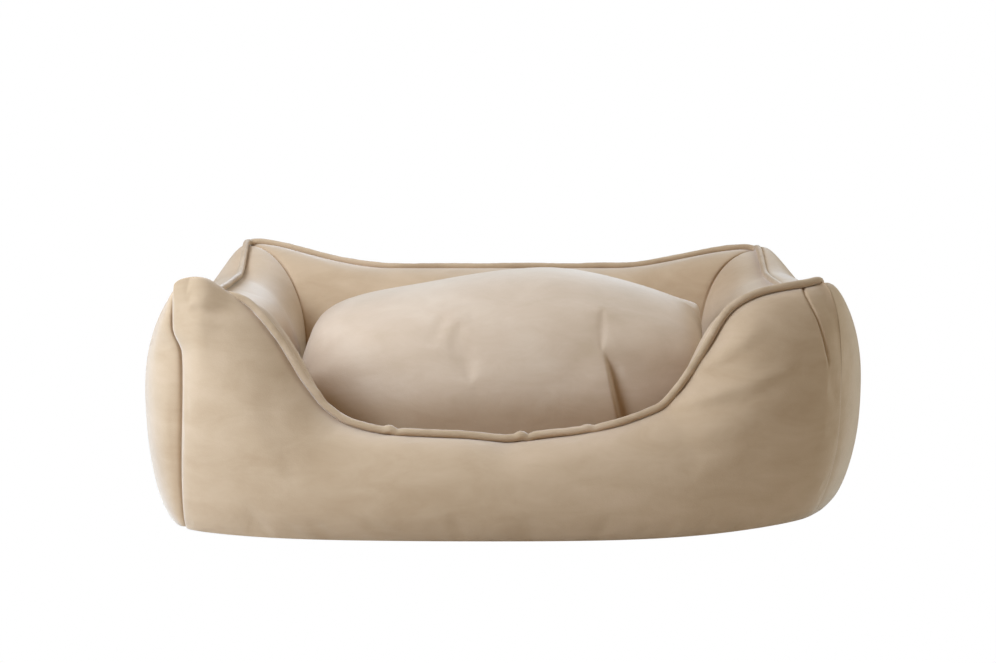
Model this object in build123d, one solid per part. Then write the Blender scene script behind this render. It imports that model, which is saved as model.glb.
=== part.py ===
"""A piped bolster dog bed: four stuffed walls sewn round a padded floor, and a loose crowned cushion.

The bed stands on the XY plane with its middle at the origin. +X is the sleeper's right seen from the
entrance, +Y points to the back wall and +Z is up. Lengths are millimetres.
"""

import os
from copy import copy
from math import acos, atan2, cos, degrees, pi, sin, sqrt

from build123d import *

# The surround's plan: its walls run between corner seams and swell past them.
seam_width = 760.0
seam_depth = 570.0
wall_room = 110.0
outer_bulge = 70.0
corner_bulge = 4.0

# The surround's heights: the corners stand up as ears and the front dips to a sill.
ear_height = 294.0
rail_height = 266.0
sill_height = 109.0
sill_width = 290.0
mouth_width = 654.0

# Where the top seam runs, in from the outer seam line.
ear_setback = 6.0
rail_setback = 15.0
sill_setback = -10.0

# How a wall stands on the base: its panels turn under by these lengths.
outer_tuck = 35.0
inner_tuck = 25.0
sill_outer_tuck = 24.0
sill_inner_tuck = 8.0
corner_outer_tuck = 8.0
corner_inner_tuck = 6.0
sill_room = 35.0

# Sewn layers and the stuffing inside them.
cover_thickness = 1.6
seam_gap = 0.5
stuffing_clearance = 0.8
piping_diameter = 9.0
piping_clearance = 0.75

# The floor of the nest, from the ground up.
base_thickness = 1.6
base_margin = 2.0
floor_wadding_thickness = 10.0
floor_clearance = 0.3
floor_margin = 10.0

# The loose cushion.
cushion_side_gap = 4.0
cushion_front_gap = 14.0
cushion_back_gap = 34.0
cushion_front_seam_height = 96.0
cushion_back_seam_height = 150.0
cushion_crown_height = 290.0
cushion_draw_in = 4.0
cushion_slide = 24.0
cushion_lean = 8.0
cushion_front_edge_height = 4.0
cushion_rest_clearance = 0.3
fibre_layer_clearance = 0.3
fibre_panel_clearance = 1.0
fibre_front_room = 8.0
fibre_front_height = 8.0
foam_slab_height = 60.0
foam_slab_side_margin = 55.0
foam_slab_end_margin = 42.0
foam_corner_radius = 25.0

# The zip in the cushion's back seam.
zip_band_height = 26.0
zip_side_margin = 30.0
zip_tape_thickness = 0.6
zip_tooth_pitch = 4.0
zip_tooth_width = 2.2
zip_tooth_height = 2.4
zip_tooth_depth = 2.2
zip_spine_height = 0.9
zip_row_gap = 1.4
zip_stop_length = 4.0
zip_room_inside = 6.0

# The zip's slider, which runs over the teeth, and its pull tab.
slider_length = 11.0
slider_nose_width = 13.4
slider_tail_width = 11.6
slider_plate_thickness = 1.3
slider_corner_radius = 1.6
slider_fit_clearance = 0.3
slider_lip_thickness = 1.1
slider_neck_length = 3.0
slider_neck_thickness = 1.0
slider_stop_clearance = 1.0
bridge_length = 8.0
bridge_width = 1.8
bridge_bar_thickness = 1.1
bridge_leg_length = 1.4
bridge_eye_height = 2.2
pull_length = 18.0
pull_width = 6.4
pull_thickness = 1.1
pull_bar_length = 1.2
pull_slot_reach = 6.0
pull_slot_clearance = 0.4
pull_corner_radius = 1.5
pull_grip_hole = 2.6

# Shapes that don't change with size: shares of the wall, the ridge height or the cushion they belong to.
scooped_station_shares = (
    (0, 0.12, 0.23, 0.32, 0.39, 0.44, 0.49, 0.54, 0.59)
    + (0.64, 0.69, 0.745, 0.805, 0.865, 0.915, 0.95, 0.975, 1)
)
railed_station_shares = (0, 0.17, 0.34, 0.5, 0.64, 0.76, 0.86, 0.94, 1)
rail_level_share = 0.45
inner_swell_share = 0.43
sill_inner_swell_share = 0.3
corner_inner_swell_share = 0.54
corner_room_share = 0.9
least_drop_share = 1.02
outer_shoulder_share = 0.85
inner_shoulder_share = 0.75
lowest_outer_swell_share = 0.34
outer_swell_share_rise = 0.25
outline_shares = (-1.0, -0.8, -0.6, -0.3, 0.0, 0.3, 0.6, 0.8, 1.0)
cushion_stations = 15
cushion_front_width_share = 0.45
cushion_back_width_share = 0.9

up = Vector(0, 0, 1)


def between(low, high, share):
    """The value that lies the given share of the way from low to high."""
    return low + (high - low) * share


def eased(share):
    """A share from 0 to 1 that leaves and arrives gently."""
    held = min(1.0, max(0.0, share))
    return held * held * (3 - 2 * held)


class Arc:
    """A circle in a wall's upright section plane, given by its centre (across, height) and radius."""

    def __init__(self, across, height, radius):
        self.across, self.height, self.radius = across, height, radius

    def inset(self, depth):
        """The same circle, drawn in by a depth."""
        return Arc(self.across, self.height, self.radius - depth)

    def at_height(self, height, side):
        """The circle's point at a height, on the side -1 (outer) or 1 (inner)."""
        return (self.across + side * sqrt(self.radius**2 - (height - self.height) ** 2), height)

    def at_turn(self, turn, side):
        """The circle's point at a turn up from level, on the side -1 or 1."""
        return (self.across + side * self.radius * cos(turn), self.height + self.radius * sin(turn))

    def middle(self, start, end, side):
        """The point halfway round from start to end, by way of the side -1 or 1."""
        turns = [atan2(z - self.height, side * (x - self.across)) for x, z in (start, end)]
        return self.at_turn(sum(turns) / 2, side)


class Side:
    """One panel's profile in a section.

    It leaves the top seam level, rounds a shoulder, runs down a flank to its swell, where it stands
    upright, and turns under to its foot. The three arcs meet smoothly.
    """

    def __init__(self, side, top, swell, foot, fullness):
        run, drop = abs(top[0] - swell[0]), top[1] - swell[1]
        shoulder = fullness * run
        flank = (run**2 + drop**2 - 2 * drop * shoulder) / (2 * (run - shoulder))
        tuck, fall = abs(swell[0] - foot[0]), swell[1] - foot[1]
        lower = (tuck**2 + fall**2) / (2 * tuck)
        self.side = side
        self.shoulder = Arc(top[0], top[1] - shoulder, shoulder)
        self.flank = Arc(swell[0] - side * flank, swell[1], flank)
        self.lower = Arc(swell[0] - side * lower, swell[1], lower)

    def arcs(self):
        """The three arcs from the top down."""
        return self.shoulder, self.flank, self.lower

    def inset(self, depth):
        """The same profile, drawn in by a depth."""
        smaller = copy(self)
        smaller.shoulder, smaller.flank, smaller.lower = (arc.inset(depth) for arc in self.arcs())
        return smaller

    def points(self, gap, floor):
        """Where the profile starts, a gap from the top seam, and where each of its three arcs ends."""
        upright = acos(gap / self.shoulder.radius)
        rise = self.shoulder.height - self.flank.height
        join = atan2(rise, self.side * (self.shoulder.across - self.flank.across))
        return (
            self.shoulder.at_turn(upright, self.side),
            self.shoulder.at_turn(join, self.side),
            self.flank.at_turn(0, self.side),
            self.lower.at_height(floor, self.side),
        )


class Wall:
    """One of the four walls. Its sections fan round from one corner's mitre to the other's."""

    def __init__(self, name, outer_start, outer_end, inner_start, inner_end, scooped):
        self.name = name
        self.outer = (Vector(*outer_start), Vector(*outer_end))
        self.inner = (Vector(*inner_start), Vector(*inner_end))
        self.scooped = scooped
        shares = scooped_station_shares if scooped else railed_station_shares
        self.stations = [-share for share in reversed(shares) if share > 0] + list(shares)

    def plane_at(self, station):
        """Where a section stands: its origin on the outer seam line, its inward direction and its room."""
        share = (station + 1) / 2
        foot = self.outer[0] + (self.outer[1] - self.outer[0]) * share
        inward = self.inner[0] + (self.inner[1] - self.inner[0]) * share - foot
        return foot, inward.normalized(), inward.length

    def ridge_height(self, station):
        """The top seam's height."""
        if not self.scooped:
            rise = eased((abs(station) - rail_level_share) / (1 - rail_level_share))
            return between(rail_height, ear_height, rise)
        from_middle = abs(station) * seam_width / 2
        rise = eased((from_middle - sill_width / 2) / ((mouth_width - sill_width) / 2))
        return between(sill_height, ear_height, rise)

    def sides_at(self, station):
        """The outer and inner panels' profiles in a section. They meet level at the top seam."""
        _, _, room = self.plane_at(station)
        corner = abs(station) ** 3
        swell = (1 - station**4) ** 0.62
        ridge = self.ridge_height(station)
        setback, middle_room = (sill_setback, sill_room) if self.scooped else (rail_setback, wall_room)
        tucks = (sill_outer_tuck, sill_inner_tuck) if self.scooped else (outer_tuck, inner_tuck)
        top = (between(setback, ear_setback, corner), ridge)
        bulge = -between(corner_bulge, outer_bulge, swell)
        outer_share = lowest_outer_swell_share + outer_swell_share_rise * ridge / ear_height
        foot = (bulge + between(corner_outer_tuck, tucks[0], swell), base_thickness)
        swell_point = (bulge, min(ridge * outer_share, ridge - least_drop_share * (top[0] - bulge)))
        outer = Side(-1, top, swell_point, foot, outer_shoulder_share)
        reach = between(middle_room, room * corner_room_share, corner)
        middle_share = sill_inner_swell_share if self.scooped else inner_swell_share
        inner_share = between(middle_share, corner_inner_swell_share, corner)
        foot = (reach - between(tucks[1], corner_inner_tuck, corner), base_thickness)
        swell_point = (reach, min(ridge * inner_share, ridge - least_drop_share * (reach - top[0])))
        inner = Side(1, top, swell_point, foot, inner_shoulder_share)
        return outer, inner

    def placed(self, station, point):
        """A section's point (across, height) in space."""
        foot, inward, _ = self.plane_at(station)
        return foot + inward * point[0] + up * point[1]

    def ridge_point(self, station):
        """The top seam's place at a station."""
        shoulder = self.sides_at(station)[0].shoulder
        return self.placed(station, (shoulder.across, shoulder.height + shoulder.radius))

    def side_edges(self, station, profile, points):
        """A profile's arcs as edges in space, from its top down to its foot."""
        edges = []
        for arc, start, end in zip(profile.arcs(), points, points[1:]):
            via = arc.middle(start, end, profile.side)
            edges.append(Edge.make_three_point_arc(*(self.placed(station, p) for p in (start, via, end))))
        return edges

    def panel(self, side):
        """The outer (-1) or inner (1) cover panel, from the top seam to the base."""
        wires = []
        for station in self.stations:
            face = self.sides_at(station)[0 if side < 0 else 1]
            lining = face.inset(cover_thickness)
            face_points = face.points(seam_gap / 2, base_thickness)
            lining_points = lining.points(seam_gap / 2, base_thickness)
            ends = [
                Edge.make_line(self.placed(station, face_points[i]), self.placed(station, lining_points[i]))
                for i in (0, -1)
            ]
            over = self.side_edges(station, face, face_points)
            under = self.side_edges(station, lining, lining_points)
            wires.append(Wire([*over, ends[1], *reversed(under), ends[0]]))
        return Solid.make_loft(wires)

    def stuffing(self):
        """The fibre filling between the two panels."""
        depth = cover_thickness + stuffing_clearance
        floor = base_thickness + stuffing_clearance
        wires = []
        for station in self.stations:
            outer, inner = (profile.inset(depth) for profile in self.sides_at(station))
            outer_points, inner_points = outer.points(0, floor), inner.points(0, floor)
            bottom = Edge.make_line(
                self.placed(station, outer_points[-1]), self.placed(station, inner_points[-1])
            )
            down = self.side_edges(station, outer, outer_points)
            back_up = self.side_edges(station, inner, inner_points)
            wires.append(Wire([*down, bottom, *reversed(back_up)]))
        return Solid.make_loft(wires)

    def piping(self):
        """The corded strip that stands on the top seam, square to the cover."""
        radius = piping_diameter / 2
        step = 0.001
        reach = 1 - (piping_diameter + 2 * piping_clearance) / (self.outer[1] - self.outer[0]).length
        wires = []
        for station in self.stations:
            held = max(-reach, min(reach, station))
            run = (self.ridge_point(held + step) - self.ridge_point(held - step)).normalized()
            lift = run.cross(self.plane_at(held)[1]).normalized()
            centre = self.ridge_point(held) + lift * (radius + piping_clearance)
            ring = Plane(origin=centre, x_dir=lift, z_dir=run)
            wires.append(Wire([Edge.make_circle(radius, ring)]))
        return Solid.make_loft(wires)


def surround_walls():
    """The four walls, each from its outer and inner corner points in plan."""
    x, y = seam_width / 2, seam_depth / 2
    u, v = x - wall_room, y - wall_room
    return [
        Wall("front", (-x, -y), (x, -y), (-u, -v), (u, -v), True),
        Wall("right", (x, -y), (x, y), (u, -v), (u, v), False),
        Wall("back", (x, y), (-x, y), (u, v), (-u, v), False),
        Wall("left", (-x, y), (-x, -y), (-u, v), (-u, -v), False),
    ]


def foot_outline(walls, side, growth):
    """The closed line round the walls' feet, grown outwards by a length, as short arcs."""
    edges = []
    for wall in walls:
        points = []
        for share in outline_shares:
            profile = wall.sides_at(share)[0 if side < 0 else 1]
            across, _ = profile.lower.at_height(base_thickness, side)
            points.append(wall.placed(share, (across - growth, 0)))
        edges += [Edge.make_three_point_arc(*points[i : i + 3]) for i in range(0, len(points) - 1, 2)]
    return Wire(edges)


def sheet_between(outline, low, high):
    """A flat sheet inside an outline, between two heights."""
    return extrude(Pos(0, 0, low) * Face(outline), high - low)


def base_sheet(walls):
    """The non-slip fabric under the whole bed."""
    return sheet_between(foot_outline(walls, -1, base_margin), 0, base_thickness)


floor_wadding_top = base_thickness + floor_clearance + floor_wadding_thickness
nest_floor_top = floor_wadding_top + floor_clearance + cover_thickness


def floor_wadding(walls):
    """The padding inside the nest's floor."""
    outline = foot_outline(walls, 1, -floor_margin)
    return sheet_between(outline, base_thickness + floor_clearance, floor_wadding_top)


def nest_floor(walls):
    """The fabric floor that the cushion lies on."""
    outline = foot_outline(walls, 1, -floor_margin)
    return sheet_between(outline, floor_wadding_top + floor_clearance, nest_floor_top)


cushion_front = -seam_depth / 2 + sill_room + cushion_front_gap
cushion_back = seam_depth / 2 - wall_room - cushion_back_gap
cushion_half_width = seam_width / 2 - wall_room - cushion_side_gap
cushion_bottom = nest_floor_top + cushion_rest_clearance
cushion_middle = (cushion_front + cushion_back) / 2
cushion_half_depth = (cushion_back - cushion_front) / 2


def seam_level(y):
    """The height of the cushion's seam, which climbs towards the back."""
    share = (y - cushion_front) / (cushion_back - cushion_front)
    return between(cushion_front_seam_height, cushion_back_seam_height, share)


def cushion_section(station, y, inset, gap, half, front_height=cushion_front_edge_height):
    """A section's points from its right seam point over its crown (half 1) or under its bottom (half -1).

    From each seam point they are the seam point, a shoulder point and the corner where the shoulder ends,
    with the middle point between the two sides. The crown stands a little to the right.
    """
    fullness = (1 - abs(station) ** 5) ** 0.72
    end_share = cushion_front_width_share if station < 0 else cushion_back_width_share
    drawn_in = cushion_draw_in * cos(station * pi / 2) ** 2
    width = cushion_half_width * between(end_share, 1.0, fullness) - drawn_in - inset
    flatness = eased((station - 0.6) / 0.4)
    least = zip_band_height / 2 if station > 0 else front_height
    level = seam_level(y)
    if half > 0:
        reach = (cushion_crown_height - level) * (1 - abs(station) ** 2.6) ** 0.55
        shoulder = (between(0.9, 0.985, flatness), between(0.45, 0.62, flatness))
        corner = (between(0.62, 0.92, flatness), between(0.83, 0.96, flatness))
    else:
        reach = (level - cushion_bottom) * (1 - station**4) ** 0.5
        shoulder = (between(0.965, 0.985, flatness), between(0.6, 0.62, flatness))
        corner = (between(0.84, 0.92, flatness), between(0.985, 0.96, flatness))
    seam = level + half * gap
    height = half * (max(reach, least) - inset - gap)
    loose = max(half, 0) * (1 - station**2)
    right = [(1.0, 0.0), shoulder, corner]
    left = [(-run, rise) for run, rise in reversed(right)]
    return [
        Vector(
            width * run + cushion_slide * loose * (1 - run * run),
            y,
            seam + height * rise + cushion_lean * loose * run * rise,
        )
        for run, rise in [*right, (0.0, 1.0), *left]
    ]


def cushion_half_edges(points):
    """The arcs over the crown or under the bottom, from the right seam point to the left one."""
    return [Edge.make_three_point_arc(*points[i : i + 3]) for i in (0, 2, 4)]


def cushion_ends(front_inset, back_inset):
    """Each station with its place along the cushion, closer together towards the ends."""
    shares = [sin(between(-pi / 2, pi / 2, i / (cushion_stations - 1))) for i in range(cushion_stations)]
    front, back = cushion_front + front_inset, cushion_back - back_inset
    return [(share, between(front, back, (share + 1) / 2)) for share in shares]


def cushion_panel(half):
    """The cushion's top (1) or bottom (-1) panel, a thin shell that ends at the seam."""
    wires = []
    for station, y in cushion_ends(0, 0):
        over = cushion_half_edges(cushion_section(station, y, 0, seam_gap / 2, half))
        under = cushion_half_edges(cushion_section(station, y, cover_thickness, seam_gap / 2, half))
        right = Edge.make_line(under[0] @ 0, over[0] @ 0)
        left = Edge.make_line(over[2] @ 1, under[2] @ 1)
        wires.append(Wire([right, *over, left, *under]))
    return Solid.make_loft(wires)


def cushion_fibre(half):
    """The fibre above (1) or below (-1) the level of the seam."""
    depth = cover_thickness + fibre_panel_clearance
    wires = []
    for station, y in cushion_ends(fibre_front_room, zip_room_inside):
        points = cushion_section(station, y, depth, fibre_layer_clearance / 2, half, fibre_front_height)
        edges = cushion_half_edges(points)
        wires.append(Wire([*edges, Edge.make_line(edges[2] @ 1, edges[0] @ 0)]))
    return Solid.make_loft(wires)


def foam_slab(growth):
    """The foam slab under the seam's slope, or the pocket for it when it is grown by a clearance."""
    width = 2 * (cushion_half_width - foam_slab_side_margin + growth)
    depth = cushion_back - cushion_front - 2 * (foam_slab_end_margin - growth)
    outline = RectangleRounded(width, depth, foam_corner_radius + growth)
    slope = atan2(cushion_back_seam_height - cushion_front_seam_height, cushion_back - cushion_front)
    top = Pos(0, cushion_middle, seam_level(cushion_middle)) * Rot(degrees(slope), 0, 0)
    low = -fibre_layer_clearance / 2 - foam_slab_height - growth
    high = growth - fibre_layer_clearance / 2
    return top * extrude(Pos(0, 0, low) * outline, high - low)


zip_level = cushion_back_seam_height
zip_plane = cushion_back + zip_tape_thickness
zip_face = zip_plane + zip_tooth_depth
zip_half_length = cushion_half_width * cushion_back_width_share - zip_side_margin
zip_row_height = zip_spine_height + zip_tooth_height


def zip_tape(half):
    """The tape that closes the upper (1) or lower (-1) half of the cushion's back."""
    edges = cushion_half_edges(cushion_section(1, cushion_back, 0, zip_row_gap / 2, half))
    outline = Wire([*edges, Edge.make_line(edges[2] @ 1, edges[0] @ 0)])
    return extrude(Face(outline), zip_tape_thickness, dir=(0, 1, 0))


def zip_teeth(half):
    """A row of teeth on its spine."""
    y = zip_plane + zip_tooth_depth / 2
    tooth_level = zip_level + half * (zip_row_gap + zip_tooth_height) / 2
    spine_level = zip_level + half * (zip_row_gap / 2 + zip_tooth_height + zip_spine_height / 2)
    spine = Pos(0, y, spine_level) * Box(2 * zip_half_length, zip_tooth_depth, zip_spine_height)
    tooth = Box(zip_tooth_width, zip_tooth_depth, zip_tooth_height)
    count = int((2 * zip_half_length - zip_tooth_width) / zip_tooth_pitch)
    places = GridLocations(zip_tooth_pitch, 0, count + half % 2, 1)
    return spine + [Pos(0, y, tooth_level) * place * tooth for place in places]


def zip_stop(side):
    """The block that ends both rows of teeth on the -X (-1) or +X (1) side."""
    x = side * (zip_half_length + zip_stop_length / 2)
    height = zip_row_gap + 2 * zip_row_height
    return Pos(x, (zip_plane + zip_face) / 2, zip_level) * Box(
        zip_stop_length, zip_tooth_depth, height
    )


slider_closed_x = -zip_half_length + slider_stop_clearance + slider_length / 2
slider_travel = 2 * (zip_half_length - slider_stop_clearance) - slider_length
slider_plate_y = zip_face + slider_fit_clearance
pull_axis_y = slider_plate_y + slider_plate_thickness + bridge_eye_height / 2


def slider_plate(y):
    """A slider plate from y outwards, wider at its nose, which points to -X."""
    nose, tail, end = slider_nose_width / 2, slider_tail_width / 2, slider_length / 2
    outline = Plane((slider_closed_x, y, zip_level), x_dir=(1, 0, 0), z_dir=(0, 1, 0)) * Polygon(
        (-end, -nose), (end, -tail), (end, tail), (-end, nose), align=None
    )
    plate = extrude(outline, slider_plate_thickness)
    return fillet(plate.edges().filter_by(Axis.Y), slider_corner_radius)


def zip_slider():
    """Two plates on a neck, lips outside the rows and a bridge for the pull."""
    outer = slider_plate(slider_plate_y)
    inner_y = cushion_back - slider_fit_clearance - slider_plate_thickness
    neck_x = slider_closed_x - slider_length / 2 + slider_corner_radius + slider_neck_length / 2
    neck_depth = slider_plate_y - cushion_back + slider_fit_clearance
    neck_y = cushion_back - slider_fit_clearance + neck_depth / 2
    neck = Pos(neck_x, neck_y, zip_level) * Box(
        slider_neck_length, neck_depth, slider_neck_thickness
    )
    lip_height = zip_row_gap / 2 + zip_row_height + slider_fit_clearance + slider_lip_thickness / 2
    lip_depth = zip_tooth_depth
    lip = Box(slider_length - 2 * slider_corner_radius, lip_depth, slider_lip_thickness)
    lip_y = slider_plate_y - lip_depth / 2
    lips = [
        Pos(slider_closed_x, lip_y, zip_level + half * lip_height) * lip for half in (-1, 1)
    ]
    face = slider_plate_y + slider_plate_thickness
    leg_x = (bridge_length - bridge_leg_length) / 2
    legs = [
        Pos(slider_closed_x + side * leg_x, face + bridge_eye_height / 2, zip_level)
        * Box(bridge_leg_length, bridge_eye_height, bridge_width)
        for side in (-1, 1)
    ]
    bar_y = face + bridge_eye_height + bridge_bar_thickness / 2
    bar = Pos(slider_closed_x, bar_y, zip_level) * Box(
        bridge_length, bridge_bar_thickness, bridge_width
    )
    return outer + [slider_plate(inner_y), neck, *lips, *legs, bar]


def zip_pull():
    """The pull tab, lying along the zip. Its bar passes under the slider's bridge."""
    tab_length = pull_length + pull_bar_length / 2
    tab = Pos((pull_length - pull_bar_length / 2) / 2, 0, 0) * Box(tab_length, pull_thickness, pull_width)
    tab = fillet(tab.edges().filter_by(Axis.Y).sort_by(Axis.X)[-2:], pull_corner_radius)
    slot_length = pull_slot_reach - pull_bar_length / 2
    slot = Pos(pull_bar_length / 2 + slot_length / 2, 0, 0) * Box(
        slot_length, 2 * pull_thickness, bridge_width + 2 * pull_slot_clearance
    )
    hole_x = pull_length - pull_width / 2
    hole = Pos(hole_x, 0, 0) * Rot(90, 0, 0) * Cylinder(pull_grip_hole / 2, 2 * pull_thickness)
    return Pos(slider_closed_x, pull_axis_y, zip_level) * (tab - slot - hole)


def build():
    """Every part of the bed, by name."""
    walls = surround_walls()
    parts = {}
    for wall in walls:
        parts[f"{wall.name}_outer_panel"] = wall.panel(-1)
        parts[f"{wall.name}_inner_panel"] = wall.panel(1)
        parts[f"{wall.name}_wall_stuffing"] = wall.stuffing()
        parts[f"{wall.name}_piping"] = wall.piping()
    parts["base_sheet"] = base_sheet(walls)
    parts["floor_wadding"] = floor_wadding(walls)
    parts["nest_floor_panel"] = nest_floor(walls)
    parts["cushion_top_panel"] = cushion_panel(1)
    parts["cushion_bottom_panel"] = cushion_panel(-1)
    parts["cushion_crown_fibre"] = cushion_fibre(1)
    parts["cushion_lower_fibre"] = cushion_fibre(-1) - foam_slab(stuffing_clearance)
    parts["cushion_foam_slab"] = foam_slab(0)
    for half, place in ((1, "upper"), (-1, "lower")):
        parts[f"zip_{place}_tape"] = zip_tape(half)
        parts[f"zip_{place}_teeth"] = zip_teeth(half)
    parts["zip_closed_stop"] = zip_stop(-1)
    parts["zip_open_stop"] = zip_stop(1)
    parts["zip_slider"] = zip_slider()
    parts["zip_pull"] = zip_pull()
    return parts


os.makedirs("parts", exist_ok=True)
for name, shape in build().items():
    export_step(shape, f"parts/{name}.step")
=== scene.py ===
from math import cos, pi, radians, sin, sqrt

import bmesh
import bpy
import numpy as np
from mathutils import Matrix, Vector


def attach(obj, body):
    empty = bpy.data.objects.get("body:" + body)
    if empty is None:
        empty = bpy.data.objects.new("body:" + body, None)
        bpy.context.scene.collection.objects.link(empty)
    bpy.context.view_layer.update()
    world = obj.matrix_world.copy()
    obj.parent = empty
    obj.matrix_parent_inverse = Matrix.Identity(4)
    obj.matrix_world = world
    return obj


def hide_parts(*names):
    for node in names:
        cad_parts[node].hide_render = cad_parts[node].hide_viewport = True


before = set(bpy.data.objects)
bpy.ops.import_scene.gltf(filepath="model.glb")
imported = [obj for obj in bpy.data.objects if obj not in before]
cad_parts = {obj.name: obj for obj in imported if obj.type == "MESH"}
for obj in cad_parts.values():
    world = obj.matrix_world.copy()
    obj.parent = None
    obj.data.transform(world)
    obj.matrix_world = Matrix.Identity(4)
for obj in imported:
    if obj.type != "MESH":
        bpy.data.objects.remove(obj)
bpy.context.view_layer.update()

# The cover cloth.
# Polyester velour with a short cut pile, dyed in one batch. The pile is brushed a little every way by
# handling, so the same colour looks paler in some strokes and browner in others, with a soft rim of sheen.


def hex_colour(code):
    """An sRGB hex colour as the linear colour that a shader takes."""
    parts = [int(code[i : i + 2], 16) / 255 for i in (1, 3, 5)]
    return [c / 12.92 if c <= 0.04045 else ((c + 0.055) / 1.055) ** 2.4 for c in parts] + [1.0]


def add(tree, kind, inputs=None, **settings):
    """One node with its settings, and its inputs set to values or linked from sockets."""
    node = tree.nodes.new(kind)
    for name, value in settings.items():
        setattr(node, name, value)
    for name, value in (inputs or {}).items():
        socket = node.inputs[name]
        if isinstance(value, bpy.types.NodeSocket):
            tree.links.new(value, socket)
        else:
            socket.default_value = value
    return node


def new_material(name):
    """An empty node material and its tree, with the output node's surface socket."""
    material = bpy.data.materials.new(name)
    material.use_nodes = True
    tree = material.node_tree
    tree.nodes.clear()
    return material, tree, tree.nodes.new("ShaderNodeOutputMaterial").inputs["Surface"]


pile_length = 0.0012
thread_spacing = 0.0011
ground_depth = 0.0012
nap_contrast = 0.16
# Painted shade: the tint that darkens the cushion's cloth low down, standing in for its shade.
painted_shade_tint = "#EAE2D6"


def velour(name, pale, middle, deep, nap_strength=1.0, painted_shade_heights=(0, 0)):
    """Velour: a broad drift of colour, brushed strokes of the nap, and a fine pile over a woven ground.

    Painted shade: from the upper of the two given heights down to the lower, the colour is darkened more and
    more by a painted shade tint. It stands in for the shade low on the cushion's front.
    """
    material, tree, surface = new_material(name)
    place = add(tree, "ShaderNodeTexCoord").outputs["Object"]
    drift = add(
        tree, "ShaderNodeTexNoise", {"Vector": place, "Scale": 7.0, "Detail": 3.0, "Roughness": 0.55}
    )
    stretched = add(tree, "ShaderNodeMapping", {"Vector": place, "Scale": (9.0, 9.0, 22.0)})
    strokes = add(
        tree,
        "ShaderNodeTexNoise",
        {
            "Vector": stretched.outputs["Vector"],
            "Scale": 1.6,
            "Detail": 5.0,
            "Roughness": 0.62,
            "Distortion": 0.6,
        },
    )
    blend = add(
        tree,
        "ShaderNodeMix",
        {"Factor": 0.5, "A": drift.outputs["Fac"], "B": strokes.outputs["Fac"]},
        data_type="FLOAT",
    )
    ramp = add(tree, "ShaderNodeValToRGB", {"Fac": blend.outputs["Result"]})
    stops = ramp.color_ramp.elements
    stops[0].position = 0.5 - nap_contrast / nap_strength
    stops[1].position = 0.5 + nap_contrast / nap_strength
    stops[0].color, stops[1].color = hex_colour(deep), hex_colour(pale)
    stops.new(0.5).color = hex_colour(middle)
    colour = ramp.outputs["Color"]
    # Painted shade: the colour grows darker from the upper given height down to the lower one.
    if painted_shade_heights[1] > painted_shade_heights[0]:
        height = add(tree, "ShaderNodeSeparateXYZ", {"Vector": place}).outputs["Z"]
        painted_shade_share = add(
            tree,
            "ShaderNodeMapRange",
            {"Value": height, "From Min": painted_shade_heights[0], "From Max": painted_shade_heights[1], "To Min": 1.0, "To Max": 0.0},
            interpolation_type="SMOOTHSTEP",
        )
        painted_shade_colour = add(
            tree,
            "ShaderNodeMix",
            {0: painted_shade_share.outputs["Result"], 6: colour, 7: hex_colour(painted_shade_tint)},
            data_type="RGBA",
            blend_type="MULTIPLY",
        )
        colour = painted_shade_colour.outputs[2]
    pile = add(
        tree,
        "ShaderNodeTexNoise",
        {"Vector": place, "Scale": 1 / pile_length, "Detail": 2.0, "Roughness": 0.6},
    )
    ground = add(
        tree, "ShaderNodeTexNoise", {"Vector": place, "Scale": 0.12 / thread_spacing, "Detail": 3.0}
    )
    near = add(
        tree,
        "ShaderNodeBump",
        {"Height": pile.outputs["Fac"], "Strength": 0.28, "Distance": pile_length / 2},
    )
    far = add(
        tree,
        "ShaderNodeBump",
        {
            "Height": ground.outputs["Fac"],
            "Strength": 0.25,
            "Distance": ground_depth,
            "Normal": near.outputs["Normal"],
        },
    )
    shader = add(
        tree,
        "ShaderNodeBsdfPrincipled",
        {
            "Base Color": colour,
            "Roughness": 0.92,
            "Specular IOR Level": 0.25,
            "Sheen Weight": 0.7,
            "Sheen Roughness": 0.5,
            "Sheen Tint": hex_colour("#FBF4EA"),
            "Normal": far.outputs["Normal"],
        },
    )
    tree.links.new(shader.outputs["BSDF"], surface)
    return material


beige_velour = velour("beige_velour", "#C6A887", "#BEA07E", "#B59673")
# The cushion's cloth carries painted shade, darker from 0.168 m down to 0.122 m.
cushion_velour = velour("cushion_velour", "#CFB69B", "#C7AC90", "#BEA385", painted_shade_heights=(0.122, 0.168))

# The stuffed walls.
# Each is an outer and an inner panel of velour, sewn together along a corded top seam, to the base, and
# at the corners to the next wall's panels. Fibre is blown in until the panels stand tight and swell.
half_length, half_depth = 0.380, 0.285
wall_room = 0.110
outer_swell, corner_swell = 0.070, 0.004
rail_height, ear_height = 0.262, 0.290
base_top = 0.0016
cloth_pitch, seam_pitch = 0.006, 0.0012

corners = {
    "outer": (half_length, half_depth),
    "inner": (half_length - wall_room, half_depth - wall_room),
}
turns = {
    "front": ((-1, -1), (1, -1)),
    "right": ((1, -1), (1, 1)),
    "back": ((1, 1), (-1, 1)),
    "left": ((-1, 1), (-1, -1)),
}
# How far the outer and inner panels puff up beside the cord or drop from it, and how far each end of the
# seam turns down.
crests = {
    "front": (-0.001, -0.002),
    "right": (0.009, 0.001),
    "back": (0.001, 0.0015),
    "left": (0.002, -0.001),
}
ear_drops = {
    "front": (0.016, -0.004),
    "right": (-0.004, 0.005),
    "back": (0.005, 0.003),
    "left": (0.003, 0.016),
}
ear_turn = 0.02


def eased(share):
    """A share from 0 to 1 that leaves and arrives gently."""
    held = np.clip(share, 0, 1)
    return held * held * (3 - 2 * held)


def between(low, high, share):
    """The value that lies the given share of the way from low to high."""
    return low + (high - low) * share


def wall_length(wall):
    """How long a wall is along its outer seam line."""
    return 2 * (half_length if wall in ("front", "back") else half_depth)


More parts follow.
